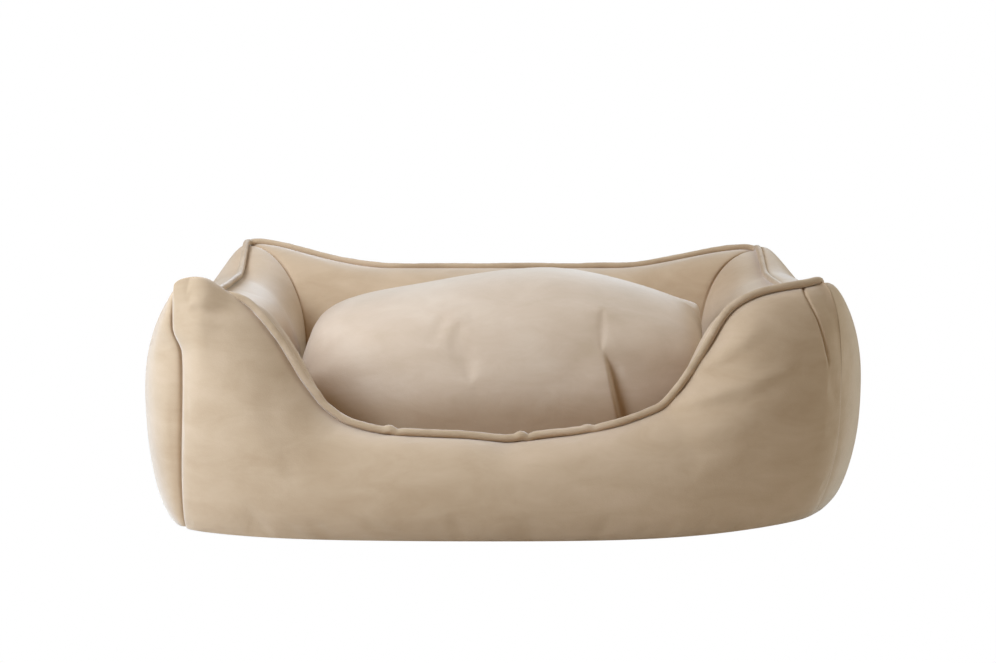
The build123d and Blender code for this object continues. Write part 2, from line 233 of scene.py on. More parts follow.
def finer_at_ends(length, fine_reach):
    """Stations from -1 to 1 along a length, closer together up to a reach from the seams that end it."""
    steps, reach = [0.0], 0.0
    while reach < length / 2:
        reach += min(cloth_pitch, seam_pitch + 0.22 * max(0, reach - fine_reach))
        steps.append(reach)
    half = np.array(steps) / steps[-1]
    return np.concatenate([half - 1, (1 - half[::-1])[1:]])


# The front's top seam, as its points across and up: a scoop whose sides and sill have settled unevenly.
scoop_line = (
    ((-0.380, 0.290), (-0.330, 0.289), (-0.300, 0.274), (-0.280, 0.252), (-0.261, 0.228), (-0.238, 0.188))
    + ((-0.209, 0.149), (-0.186, 0.132), (-0.163, 0.1245), (-0.139, 0.1195), (-0.1, 0.117), (-0.04, 0.1145))
    + ((0.004, 0.1095), (0.043, 0.114), (0.078, 0.1183), (0.113, 0.1243), (0.1365, 0.1302), (0.160, 0.1385))
    + ((0.185, 0.149), (0.200, 0.165), (0.2135, 0.185), (0.227, 0.203), (0.240, 0.226), (0.252, 0.2505))
    + ((0.264, 0.2645), (0.2755, 0.2725), (0.2986, 0.2825), (0.322, 0.287), (0.345, 0.2905), (0.380, 0.294))
)


def rounded_line(at, line, width):
    """The height of a line of points, with its corners rounded over a width."""
    across, heights = np.array(line).T
    offsets = np.linspace(-width, width, 25)
    weights = np.cos(offsets / width * pi / 2) ** 2
    return np.interp(at[..., None] + offsets, across, heights) @ weights / weights.sum()


def ear_puff(stations):
    """Where the front cover puffs up over its cord, beside the left ear."""
    return np.exp(-(np.abs((stations + 0.915) / 0.082) ** 2.8)) * (1 - stations**16) ** 0.5


def ridge_height(wall, stations):
    """The top seam's height: a scoop for the front and a sag for the rest."""
    s = np.abs(stations)
    near_end = np.clip(1 - (1 - s) * (wall_length(wall) / 2) / ear_turn, 0, 1)
    drop = np.where(stations < 0, *ear_drops[wall]) * (1 - np.sqrt(1 - near_end**2))
    if wall != "front":
        return between(rail_height, ear_height, eased((s - 0.45) / 0.55)) - drop
    return rounded_line(stations * half_length, scoop_line, 0.014) - drop - 0.010 * ear_puff(stations)


crest_share, swell_share = 0.12, 0.6
crest_start, crest_spread, crest_reach = 0.0034, 1.4, 0.022
flank_fullness, foot_turn = 0.88, 1.43


def side_profile(top, crest, swell, foot, shares):
    """One panel's profile per station, from the top seam over its crest and swell and under to its foot."""
    (top_x, top_z), (swell_x, swell_z), (foot_x, foot_z) = (
        [value[:, None] for value in pair] for pair in (top, swell, foot)
    )
    crest = crest[:, None]
    beside = np.minimum(crest_reach, crest_start + crest_spread * np.maximum(crest, 0))
    crest_x = top_x + np.sign(swell_x - top_x) * beside
    t = shares[None, :]
    first = np.clip(t / crest_share, 0, 1) * pi / 2
    second = np.clip((t - crest_share) / (swell_share - crest_share), 0, 1) * pi / 2
    third = np.clip((t - swell_share) / (1 - swell_share), 0, 1) * foot_turn
    over = top_x + (crest_x - top_x) * (1 - np.cos(first)), top_z + crest * np.sin(first)
    down = (
        crest_x + (swell_x - crest_x) * np.sin(second) ** flank_fullness,
        swell_z + (top_z + crest - swell_z) * np.cos(second) ** flank_fullness,
    )
    turn_in = (1 - np.cos(third)) / (1 - np.cos(foot_turn))
    fall = np.sin(third) / np.sin(foot_turn)
    under = swell_x + (foot_x - swell_x) * turn_in, swell_z + (foot_z - swell_z) * fall
    return [
        np.where(t < crest_share, first_part, np.where(t < swell_share, second_part, last_part))
        for first_part, second_part, last_part in zip(over, down, under)
    ]


def section_planes(wall, stations):
    """Each section's foot on the outer seam line, its inward direction and its room, fanned to the mitres."""
    start, end = np.array(turns[wall])
    line = between(start, end, ((stations + 1) / 2)[:, None])
    outer, inner = line * corners["outer"], line * corners["inner"]
    room = np.linalg.norm(inner - outer, axis=1)
    return outer, (inner - outer) / room[:, None], room


def wall_profiles(wall, stations, outer_shares, inner_shares):
    """Each section's outer profile and inner profile, as across and height arrays from the top seam down."""
    room = section_planes(wall, stations)[2]
    s = np.abs(stations)
    corner, front = s**3, wall == "front"
    # The corner on the entrance's right is rounder than the others, and turns further under.
    round_corner = {"front": stations > 0, "right": stations < 0}.get(wall, np.zeros(len(stations), bool))
    swelling = np.where(round_corner, 1 - s ** (5.4 if front else 4.0), (1 - s**4) ** 0.62)
    ridge = ridge_height(wall, stations)
    top = (between(-0.010 if front else 0.015, 0.006, corner), ridge)
    held = (1 - s**8) ** 0.5
    crest_out, crest_in = (crest * held for crest in crests[wall])
    if front:
        crest_out = crest_out + 0.0285 * ear_puff(stations)
    bulge = -between(np.where(round_corner, 0.020, corner_swell), outer_swell, swelling)
    floor = np.full_like(s, base_top)
    corner_tuck = np.where(round_corner, 0.026, 0.008)
    tuck = between(corner_tuck, {"front": 0.013, "right": 0.038}.get(wall, 0.032), swelling)
    height = ridge * (0.34 + 0.25 * ridge / ear_height) * (1.08 if wall == "right" else 1)
    outer = side_profile(top, crest_out, (bulge, height), (bulge + tuck, floor), outer_shares)
    reach = between(0.035 if front else wall_room, room * 0.9, corner)
    height = ridge * between(0.3 if front else 0.43, 0.54, corner)
    tuck = between(0.008 if front else 0.025, 0.006, corner)
    inner = side_profile(top, crest_in, (reach, height), (reach - tuck, floor), inner_shares)
    return outer, inner


def settled(points):
    """How this bed has settled: one back ear stands proud, and the corners turn in and lift off the floor."""
    x, y, z = points[..., 0], points[..., 1], points[..., 2]
    moved = points.copy()
    ear = np.exp(-(((x + 0.36) / 0.07) ** 2) - ((y - 0.27) / 0.07) ** 2) * np.clip(z / 0.29, 0, 1) ** 2
    moved[..., 2] += 0.008 * ear
    for side, lift, reach in ((1, 0.016, 0.16), (-1, 0.004, 0.10)):
        near = np.exp(-(((x - side * 0.39) / reach) ** 2) - ((y + 0.29) / 0.11) ** 2)
        low = np.clip(1 - z / 0.12, 0, 1) ** 1.4
        moved[..., 2] += lift * near * low
        moved[..., 0] -= side * (lift - 0.003) * near * low
    drawn = np.exp(-(((x + 0.385) / 0.035) ** 2) - ((y + 0.29) / 0.035) ** 2) * eased((0.245 - z) / 0.03)
    moved[..., 0] += 0.010 * drawn * between(0.2, 1, eased(z / 0.2))
    for side_x, side_y in ((1, 1), (1, -1), (-1, 1), (-1, -1)):
        apart = np.hypot(x - side_x * half_length, y - side_y * half_depth)
        high = np.clip((z - 0.2) / 0.08, 0, 1)
        turn = (-0.004 if side_x + side_y < -1 else 0.006) * np.exp(-((apart / 0.016) ** 2)) * high
        moved[..., 0] -= side_x * turn
        moved[..., 1] -= side_y * turn
    return moved


def wall_surface(wall, stations, outer_shares, inner_shares):
    """The wall's cover from the outer foot over the top seam to the inner foot."""
    outer, inner = wall_profiles(wall, stations, outer_shares, inner_shares)
    across, height = (np.concatenate([o[:, ::-1], i[:, 1:]], axis=1) for o, i in zip(outer, inner))
    foot, inward, _ = section_planes(wall, stations)
    plan = foot[:, None, :] + inward[:, None, :] * across[..., None]
    return settled(np.concatenate([plan, height[..., None]], axis=2))


def grid_faces(rows, columns):
    """Quads between neighbouring points of a grid."""
    index = np.arange(rows * columns).reshape(rows, columns)
    return np.stack([index[:-1, :-1], index[1:, :-1], index[1:, 1:], index[:-1, 1:]], axis=-1).reshape(-1, 4)


def mesh_piece(name, points, faces, materials, smooth=True, edges=()):
    """A new object at the origin with its place in its mesh."""
    mesh = bpy.data.meshes.new(name)
    corner_points = [tuple(p) for p in np.reshape(points, (-1, 3))]
    mesh.from_pydata(corner_points, edges, [list(map(int, f)) for f in faces])
    mesh.validate()
    for material in materials:
        mesh.materials.append(material)
    mesh.polygons.foreach_set("use_smooth", [smooth] * len(mesh.polygons))
    piece = bpy.data.objects.new(name, mesh)
    bpy.context.collection.objects.link(piece)
    return piece


def coordinates(mesh):
    """A mesh's points as an array."""
    flat = np.empty(len(mesh.vertices) * 3)
    mesh.vertices.foreach_get("co", flat)
    return flat.reshape(-1, 3)


def fill_with_fibre(piece, sewn, pressure, ease, most):
    """Let the cloth swell under the fibre's pressure from its cut size, held at its sewn points.

    ease is how much longer the cloth is cut than the form it covers, and most how far each point may move.
    """
    before = coordinates(piece.data)
    group = piece.vertex_groups.new(name="sewn")
    group.add([int(i) for i in sewn], 1.0, "REPLACE")
    cloth = piece.modifiers.new("Fibre filling", "CLOTH")
    settings = cloth.settings
    settings.quality = 6
    settings.mass = 0.15
    settings.tension_stiffness = settings.compression_stiffness = 18
    settings.shear_stiffness = 8
    settings.bending_stiffness = 2.5
    settings.vertex_group_mass = "sewn"
    settings.use_pressure = True
    settings.uniform_pressure_force = pressure
    settings.shrink_min = -ease
    settings.effector_weights.gravity = 0
    cloth.collision_settings.use_collision = False
    cloth.point_cache.frame_start, cloth.point_cache.frame_end = 1, 20
    scene = bpy.context.scene
    for step in range(1, 21):
        scene.frame_set(step)
    posed = piece.evaluated_get(bpy.context.evaluated_depsgraph_get())
    after = coordinates(posed.data)
    piece.modifiers.remove(cloth)
    piece.vertex_groups.remove(group)
    scene.frame_set(1)
    step = after - before
    length = np.linalg.norm(step, axis=1, keepdims=True)
    most = np.reshape(most, (-1, 1)) + 1e-6
    held = most * np.tanh(length / most)
    placed = before + step * held / np.maximum(length, 1e-9)
    piece.data.vertices.foreach_set("co", placed.ravel())
    piece.data.update()


def fold_along(piece, points):
    """Keep the edges along a line of points sharp when the piece is rounded."""
    along = {tuple(sorted(map(int, pair))) for pair in zip(points, points[1:])}
    crease = piece.data.attributes.new("crease_edge", "FLOAT", "EDGE")
    for edge in piece.data.edges:
        if tuple(sorted(edge.vertices)) in along:
            crease.data[edge.index].value = 1.0


def subdivide(piece, levels):
    """Round a piece with a subdivision that keeps its open edges where they are."""
    modifier = piece.modifiers.new("Smoothing", "SUBSURF")
    modifier.levels = modifier.render_levels = levels
    modifier.boundary_smooth = "PRESERVE_CORNERS"
    mesh = bpy.data.meshes.new_from_object(piece.evaluated_get(bpy.context.evaluated_depsgraph_get()))
    piece.modifiers.remove(modifier)
    mesh.name = piece.data.name
    piece.data = mesh


def close_holes(piece):
    """Close a piece's open edges with faces, and turn its faces outwards."""
    shape = bmesh.new()
    shape.from_mesh(piece.data)
    bmesh.ops.holes_fill(shape, edges=[e for e in shape.edges if e.is_boundary], sides=0)
    bmesh.ops.recalc_face_normals(shape, faces=shape.faces[:])
    shape.to_mesh(piece.data)
    shape.free()
    piece.data.update()


groove_depth, groove_width = 0.0034, 0.0021
# The front's right corner seam, as its points up and across. It starts inside the ear and fades out lower
# down.
round_corner_seam = ((0.190, 0.3765), (0.210, 0.3755), (0.232, 0.371), (0.256, 0.364), (0.286, 0.350))


def cloth_travel(points, stations, ridge_row, length):
    """How far each point of a wall's cloth lies from the nearer corner seam and from the top seam."""
    from_corner = np.broadcast_to((1 - np.abs(stations))[:, None] * length / 2, points.shape[:2])
    run = np.linalg.norm(np.diff(points, axis=1), axis=2)
    travel = np.concatenate([np.zeros((len(points), 1)), np.cumsum(run, axis=1)], axis=1)
    return from_corner, np.abs(travel - travel[:, ridge_row : ridge_row + 1])


def sunk_at_seams(points, from_corner, from_ridge, wall, stations):
    """Pull the cloth into its corner seams, on the corner's diagonal where two walls' edges meet."""
    steps = np.gradient(points, axis=0), np.gradient(points, axis=1)
    normal = np.cross(steps[0], steps[1])
    normal /= np.maximum(np.linalg.norm(normal, axis=2, keepdims=True), 1e-9)
    turn_out = np.sign(normal[len(points) // 2, 5, 1])
    for end in (0, -1):
        diagonal = np.append(np.sign(points[end, 0, :2]), 0) / sqrt(2)
        normal[end] = diagonal * np.sign(normal[end] @ diagonal)[:, None]
    sink = np.exp(-((from_corner / groove_width) ** 2)) * (1 - np.exp(-((from_ridge / 0.02) ** 2)))
    sink *= 1 - 0.7 * eased((from_ridge - 0.05) / 0.1)
    if wall in ("front", "right"):
        sink = sink * np.where(stations * (1 if wall == "front" else -1) > 0, 0.0, 1.0)[:, None]
    if wall == "front":
        x, z = points[..., 0], points[..., 2]
        off = x - rounded_line(z, round_corner_seam, 0.008)
        outside = normal[..., 1] * turn_out > 0
        sink = sink + np.exp(-((off / 0.0015) ** 2)) * eased((z - 0.19) / 0.035) * outside
    return points - normal * (groove_depth * sink)[..., None]


# Tension folds in the front cover: the ends (x, z) of each crest, its width and its height.
tension_folds = (
    ((0.192, 0.156), (0.335, 0.202), 0.009, 0.0050),
    ((0.222, 0.195), (0.295, 0.248), 0.010, 0.0046),
    ((0.215, 0.125), (0.300, 0.150), 0.014, 0.0014),
    ((-0.362, 0.268), (-0.318, 0.262), 0.008, -0.0024),
)


def folded(points):
    """The front's outer panel with its tension folds, each a crest with a hollow on both sides."""
    place = points[..., [0, 2]]
    moved = points.copy()
    for start, end, width, height in tension_folds:
        run = np.subtract(end, start)
        reach = np.linalg.norm(run)
        along = (place - start) @ run / reach**2
        beside = ((place - start) @ (-run[1], run[0])) / reach / (width * (1 + 0.6 * along))
        fade = eased((along + 0.15) / 0.35) * eased((1.2 - along) / 0.7)
        moved[..., 1] -= height * fade * (1 - 2 * beside**2) * np.exp(-(beside**2))
    return moved


inner_shares = np.linspace(0, 1, 43)
for wall in turns:
    length = wall_length(wall)
    stations = finer_at_ends(length, 0.036 if wall == "front" else 0)
    outer_shares = np.linspace(0, 1, 78 if wall == "front" else 45)
    points = wall_surface(wall, stations, outer_shares, inner_shares)
    rows, columns = points.shape[:2]
    ridge_row = len(outer_shares) - 1
    from_corner, from_ridge = cloth_travel(points, stations, ridge_row, length)
    points = sunk_at_seams(points, from_corner, from_ridge, wall, stations)
    if wall == "front":
        points[:, :ridge_row] = folded(points[:, :ridge_row])
    cover = mesh_piece(f"{wall}_wall_cover", points, grid_faces(rows, columns), [beige_velour])
    grid = np.arange(rows * columns).reshape(rows, columns)
    sewn = set(grid[0]) | set(grid[-1]) | set(grid[:, 0]) | set(grid[:, -1]) | set(grid[:, ridge_row])
    free = (1 - np.exp(-((from_corner / 0.03) ** 2))) * (1 - np.exp(-((from_ridge / 0.025) ** 2)))
    fill_with_fibre(cover, sewn, pressure=2.0, ease=0.003, most=0.0045 * free.ravel())
    fold_along(cover, grid[:, ridge_row])
    subdivide(cover, 1)
    close_holes(cover)
    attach(cover, "surround")
    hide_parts(f"{wall}_outer_panel", f"{wall}_inner_panel", f"{wall}_wall_stuffing")

# The piping.
# A strip of the same velour folded round a soft cord and sewn between the two panels, so it stands on the
# top seam. Its cloth is cut on the cross, and gathers in small puckers where the seam turns.
piping_radius = 0.0047
piping_velour = velour("piping_velour", "#C6A989", "#BA9D7B", "#AC8E6D", 1.3)


def tube(name, path, radii, materials):
    """A tube round a closed path, with its own radius at each point of each ring."""
    run = np.roll(path, -1, axis=0) - np.roll(path, 1, axis=0)
    run /= np.linalg.norm(run, axis=1, keepdims=True)
    side = np.cross(run, (0, 0, 1))
    side /= np.linalg.norm(side, axis=1, keepdims=True)
    rise = np.cross(side, run)
    count, sides = radii.shape
    angle = np.arange(sides) * 2 * pi / sides
    ring = np.cos(angle)[None, :, None] * side[:, None] + np.sin(angle)[None, :, None] * rise[:, None]
    index = np.arange(count * sides).reshape(count, sides)
    on, after = np.roll(index, -1, axis=0), np.roll(index, -1, axis=1)
    faces = np.stack([index, after, np.roll(on, -1, axis=1), on], axis=-1).reshape(-1, 4)
    return mesh_piece(name, path[:, None] + ring * radii[..., None], faces, materials)


def smoothed(values, width):
    """A closed row of values, averaged with its neighbours over a width in points."""
    window = np.hanning(2 * width + 3)[1:-1]
    window /= window.sum()
    wrapped = np.concatenate([values[-width:], values, values[:width]])
    return np.stack([np.convolve(column, window, "valid") for column in wrapped.T], axis=1)


def seam_lines(wall, stations):
    """A wall's outer foot, its top seam and its inner foot."""
    ends = np.array([0.0, 1.0])
    return wall_surface(wall, stations, ends, ends)


cord_pitch, cord_sides = 0.0022, 14
stand_share, cord_wander, pucker_depth = 0.9, 0.0022, 0.07
# Where the strip is gathered on the front's seam, and by how much.
gathers = ((-0.134, 0.0016), (0.020, 0.0020), (0.098, 0.0010), (-0.220, 0.0008))
pucker_random = np.random.default_rng(7)
ridges = []
for wall in turns:
    stations = np.linspace(-1, 1, int(wall_length(wall) / cord_pitch))[:-1]
    ridges.append(seam_lines(wall, stations)[:, 1])
ridge = smoothed(np.concatenate(ridges), 6)
run = np.roll(ridge, -1, axis=0) - np.roll(ridge, 1, axis=0)
run /= np.linalg.norm(run, axis=1, keepdims=True)
lift = np.array([0, 0, 1.0]) - run * run[:, 2:]
lift /= np.linalg.norm(lift, axis=1, keepdims=True)
wander = smoothed(pucker_random.normal(size=(len(ridge), 1)), 24)
puckers = smoothed(pucker_random.normal(size=(len(ridge), cord_sides)), 3)
path = ridge + lift * (piping_radius * stand_share + cord_wander * wander)
radii = piping_radius * (1 + pucker_depth * puckers)
for gather_x, rise in gathers:
    near = path[:, :1] - gather_x
    rise = rise * (path[:, 1:2] < -0.2)
    bump = np.exp(-((near / 0.0045) ** 2))
    path[:, 2:] += rise * (bump - np.exp(-(((near - 0.010) / 0.005) ** 2)))
    radii = radii + 0.5 * rise * bump
cord = tube("piping_cord", path, radii, [piping_velour])
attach(cord, "surround")
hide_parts(*(f"{wall}_piping" for wall in turns))

# The cushion.
# A pillow of two velour panels, fuller than the nest it is pressed into, so its crown stands above the
# walls. Its seam climbs to the back corners, and the cloth pinches where the front wall pushes it.
cushion_half = 0.266
front_edge, back_edge = -0.231, 0.141
cushion_floor, front_bulge = 0.0142, 0.013
rows_across, rows_along = 120, 84
zip_opening = 0.0085

# How high the crown stands along the cushion's width, from its left side (-1) to its right (1).
crown_line = (
    ((-1.0, 0.222), (-0.9, 0.237), (-0.77, 0.2485), (-0.6, 0.259), (-0.4, 0.268), (-0.2, 0.278), (0.0, 0.286))
    + ((0.2, 0.290), (0.35, 0.287), (0.5, 0.279), (0.65, 0.268), (0.8, 0.2565), (0.9, 0.249), (1.0, 0.243))
)


def pinched(points):
    """The cushion with the pinch that the sill pushes into its front, and a soft hollow on its left."""
    x, y, z = points[..., 0], points[..., 1], points[..., 2]
    moved = points.copy()
    front = np.clip((-0.05 - y) / 0.1, 0, 1)
    past = x - (0.123 + (0.195 - z) * 0.25)
    height = eased((z - 0.085) / 0.03) * eased((0.207 - z) / 0.035) * front
    lobe = np.where(past < 0, np.exp(-((past / 0.032) ** 2)), np.clip(1 - past / 0.003, 0, 1))
    hollow = np.exp(-past / 0.026) * np.clip(past / 0.003, 0, 1) * (past > 0)
    moved[..., 1] += height * (0.0115 * hollow - 0.0050 * lobe)
    along = (x + 0.218) * 0.84 + (z - 0.196) * 0.54
    beside = (z - 0.196) * 0.84 - (x + 0.218) * 0.54
    dent = 0.0055 * np.exp(-((along / 0.04) ** 2) - (beside / 0.012) ** 2) * front
    moved[..., 1] += dent * 0.6
    moved[..., 2] -= dent * 0.8
    return moved


def pillow_face(u, v, upper):
    """A point grid of the pillow's top or bottom panel over shares -1 to 1 of its width and depth."""
    u, v = np.meshgrid(u, v, indexing="ij")
    back = (v + 1) / 2
    drawn = 0.006 * (1 - v**2) * np.abs(u) ** 3
    x = u * (cushion_half + 0.004) - np.sign(u) * drawn
    front_line = front_edge + 0.046 * np.abs(u) ** 3
    y = between(front_line, back_edge, back)
    pressed_up = np.where(u > 0, 0.096, 0.034) * np.exp(-(((back - 0.66) / 0.28) ** 2))
    corner_rise = pressed_up * eased((np.abs(u) - 0.7) / 0.3)
    opening = zip_opening * np.clip(back * 12 - 11, 0, 1) * (1 - np.abs(u) ** 14) ** 0.5
    seam = between(0.096, 0.150, back) + corner_rise + (opening if upper else -opening)
    if upper:
        crown = rounded_line(u, crown_line, 0.12)
        full = (1 - np.abs(u) ** 14) ** 0.5 * (1 - np.abs(v) ** 2.6) ** 0.55
        z = seam + np.sqrt(np.maximum(crown - seam, 0) ** 2 + 0.004**2) * full
        y = y - front_bulge * np.sin(np.clip(back / 0.22, 0, 1) * pi) * (1 - np.abs(u) ** 4)
    else:
        full = ((1 - np.abs(u) ** 8) * (1 - np.abs(v) ** 6)) ** 0.45
        z = seam - (seam - cushion_floor) * full
    return np.stack([x, y, z], axis=-1)


def shares_with(count, density):
    """Shares from -1 to 1, closer together where the density is higher."""
    fine = np.linspace(-1, 1, 4001)
    reach = np.cumsum(density(fine))
    return np.interp(np.linspace(0, 1, count), (reach - reach[0]) / (reach[-1] - reach[0]), fine)


u = shares_with(rows_across, lambda t: 1 + 1.6 * np.abs(t) ** 8 + 2.0 * np.exp(-(((t - 0.48) / 0.07) ** 2)))
v = shares_with(rows_along, lambda t: 1 + 2.2 * np.abs(t) ** 5)
top_points, bottom_points = pillow_face(u, v, True), pillow_face(u, v, False)
index = np.arange(rows_across * rows_along).reshape(rows_across, rows_along)
under = index.copy()
own = np.zeros(index.shape, bool)
own[1:-1, 1:] = True
under[own] = index.size + np.arange(own.sum())
points = pinched(np.concatenate([top_points.reshape(-1, 3), bottom_points[own]]))
top_faces = grid_faces(rows_across, rows_along)
bottom_faces = under.ravel()[top_faces][:, ::-1]
cushion = mesh_piece("cushion_cover", points, np.concatenate([top_faces, bottom_faces]), [cushion_velour])
sewn = set(index[0]) | set(index[-1]) | set(index[:, 0]) | set(index[:, -1]) | set(under[:, -1])
edge_share = np.maximum(np.abs(u)[:, None], np.abs(v)[None, :])
free = np.clip((1 - edge_share) / 0.12, 0, 1) ** 0.7
at_back = (v[None, :] > 0.5) * (1 - edge_share * 0.6) + (v[None, :] <= 0.5)
free = free * at_back
most = 0.006 * np.concatenate([free.ravel(), free[own] * 0.5])
fill_with_fibre(cushion, sewn, pressure=2.4, ease=0.003, most=most)
subdivide(cushion, 1)
close_holes(cushion)
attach(cushion, "cushion")
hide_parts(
    "cushion_top_panel",
    "cushion_bottom_panel",
    "cushion_crown_fibre",
    "cushion_lower_fibre",
    "cushion_foam_slab",
)

# The base and the nest's floor.
# A sheet of dark non-slip cloth with rubber dots closes the underside and is caught in the same seam as the
# outer panels. Inside, a velour panel over thin wadding lines the nest under the cushion.
base_lift, base_inset, base_slope = 0.0006, 0.005, 0.05
floor_top, floor_edge, floor_edge_lift = 0.0136, 0.030, 0.003
dot_pitch, dot_radius, dot_margin, dot_reach = 0.013, 0.0016, 0.055, 0.44
non_slip_cloth = velour("non_slip_cloth", "#5A544E", "#4D4843", "#403C38")


def foot_line(column):
    """The closed line along the walls' outer (0) or inner (-1) feet."""
    lines = []
    for wall in turns:
        stations = np.linspace(-1, 1, 61)[:-1]
        lines.append(seam_lines(wall, stations)[:, column])
    return np.concatenate(lines)


def ringed_sheet(name, rings, materials, upward):
    """A sheet of rings of points, one inside the other, closed by a face in the middle."""
    count = len(rings[0])
    index = np.arange(len(rings) * count).reshape(len(rings), count)
    after = np.roll(index, -1, axis=1)
    faces = np.stack([index[:-1], index[1:], after[1:], after[:-1]], axis=-1).reshape(-1, 4)
    faces = (faces[:, ::-1] if upward else faces).tolist() + [index[-1].tolist()]
    return mesh_piece(name, np.concatenate(rings), faces, materials)


def geometry_group(name, sockets):
    """A geometry node group with named inputs, and its input and output nodes."""
    group = bpy.data.node_groups.new(name, "GeometryNodeTree")
    group.interface.new_socket("Geometry", in_out="OUTPUT", socket_type="NodeSocketGeometry")
    group.interface.new_socket("Geometry", in_out="INPUT", socket_type="NodeSocketGeometry")
    for label, kind in sockets.items():
        group.interface.new_socket(label, in_out="INPUT", socket_type=f"NodeSocket{kind}")
    return group, group.nodes.new("NodeGroupInput").outputs, group.nodes.new("NodeGroupOutput").inputs


def grown(piece, group, **values):
    """Run a node group on a piece, with its inputs set by name, and keep the result as a plain mesh."""
    modifier = piece.modifiers.new(group.name, "NODES")
    modifier.node_group = group
    for item in group.interface.items_tree:
        label = item.name.replace(" ", "_").lower()
        if item.in_out == "INPUT" and label in values:
            modifier[item.identifier] = values[label]
    piece.update_tag()
    bpy.context.view_layer.update()
    mesh = bpy.data.meshes.new_from_object(piece.evaluated_get(bpy.context.evaluated_depsgraph_get()))
    piece.modifiers.remove(modifier)
    mesh.name = piece.data.name
    piece.data = mesh
    piece.data.polygons.foreach_set("use_smooth", [True] * len(mesh.polygons))


outer_foot = foot_line(0)
inward = outer_foot[:, :2] / np.linalg.norm(outer_foot[:, :2], axis=1, keepdims=True)
rings = []
for inset in (0.0, base_inset, base_slope, 0.12):
    ring = outer_foot.copy()
    ring[:, :2] -= inward * inset
    rest = eased(np.array(inset / base_slope))
    ring[:, 2] = between(outer_foot[:, 2] - (base_top - base_lift) * (inset > 0), base_lift, rest)
    rings.append(ring)
base = ringed_sheet("base_cloth", rings, [non_slip_cloth], False)
close_holes(base)
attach(base, "surround")
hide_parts("base_sheet")

rubber, tree, surface = new_material("grip_rubber")
shader = add(tree, "ShaderNodeBsdfPrincipled", {"Base Color": hex_colour("#2B2926"), "Roughness": 0.55})
tree.links.new(shader.outputs["BSDF"], surface)

dots, given, result = geometry_group(
    "grip_dots",
    {"Radius": "Float", "Height": "Float", "Unevenness": "Float", "Seed": "Int", "Material": "Material"},
)
ball = add(dots, "GeometryNodeMeshUVSphere", {"Segments": 8, "Rings": 5, "Radius": 1.0})
size = add(dots, "ShaderNodeCombineXYZ", {"X": given["Radius"], "Y": given["Radius"], "Z": given["Height"]})
least = add(dots, "ShaderNodeMath", {0: 1.0, 1: given["Unevenness"]}, operation="SUBTRACT")
drawn = add(
    dots,
    "FunctionNodeRandomValue",
    {"Min": least.outputs[0], "Max": 1.0, "Seed": given["Seed"]},
    data_type="FLOAT",
)
placed = add(
    dots,
    "GeometryNodeInstanceOnPoints",
    {"Points": given["Geometry"], "Instance": ball.outputs["Mesh"], "Scale": size.outputs[0]},
)
scaled = add(dots, "GeometryNodeScaleInstances", {"Instances": placed.outputs[0]})
dots.links.new(next(o for o in drawn.outputs if o.enabled and o.type == "VALUE"), scaled.inputs["Scale"])
real = add(dots, "GeometryNodeRealizeInstances", {"Geometry": scaled.outputs[0]})
painted = add(dots, "GeometryNodeSetMaterial", {"Geometry": real.outputs[0], "Material": given["Material"]})
dots.links.new(painted.outputs[0], result["Geometry"])

inner_line = outer_foot[:, :2] - inward * dot_margin
steps = np.arange(-dot_reach, dot_reach, dot_pitch)
grid_x, grid_y = np.meshgrid(steps, steps)
grid_x = grid_x + (np.arange(len(steps)) % 2)[:, None] * dot_pitch / 2
bearing = np.arctan2(inner_line[:, 1], inner_line[:, 0])
order = np.argsort(bearing)
reach = np.interp(np.arctan2(grid_y, grid_x), bearing[order], np.hypot(*inner_line.T)[order])
inside = np.hypot(grid_x, grid_y) < reach
dot_points = np.stack([grid_x[inside], grid_y[inside], np.full(inside.sum(), base_lift)], axis=-1)
grips = mesh_piece("grip_dots", dot_points, [], [rubber])
grown(grips, dots, radius=dot_radius, height=base_lift, unevenness=0.15, seed=3, material=rubber)
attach(grips, "surround")

inner_foot = foot_line(-1)
inner_middle = inner_foot[:, :2].mean(axis=0)
towards = inner_foot[:, :2] - inner_middle
spans = np.linalg.norm(towards, axis=1, keepdims=True)
rings = []
for inset in (0.0, 0.002, 0.005, 0.010, 0.018, 0.030, 0.055, 0.09, 0.13):
    ring = inner_foot.copy()
    ring[:, :2] = inner_middle + towards * (1 - inset / spans)
    rise = np.sqrt(1 - (1 - min(1.0, inset / floor_edge)) ** 2)
    ring[:, 2] = between(base_top + floor_edge_lift, floor_top, rise)
    rings.append(ring)
nest_pad = ringed_sheet("nest_floor_pad", rings, [beige_velour], True)
close_holes(nest_pad)
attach(nest_pad, "surround")
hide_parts("floor_wadding", "nest_floor_panel")

# The zip in the cushion's back seam.
# Two woven tapes, sewn under the cloth's folded edges with a row of stitches each, carry rows of nylon
# teeth. A plated slider with a pull tab runs along them between two stops.
zip_height, zip_reach = 0.150, 0.2134
tape_height, tape_thickness, row_gap = 0.0125, 0.0006, 0.0014
tape_overrun, tape_depth, tape_sway, sewn_edge = 0.004, 0.0002, 0.0002, 0.005
stitch_pitch, stitch_length, thread_radius = 0.0034, 0.0026, 0.00032
stitch_setback, stitch_rise = 0.0028, 0.0003

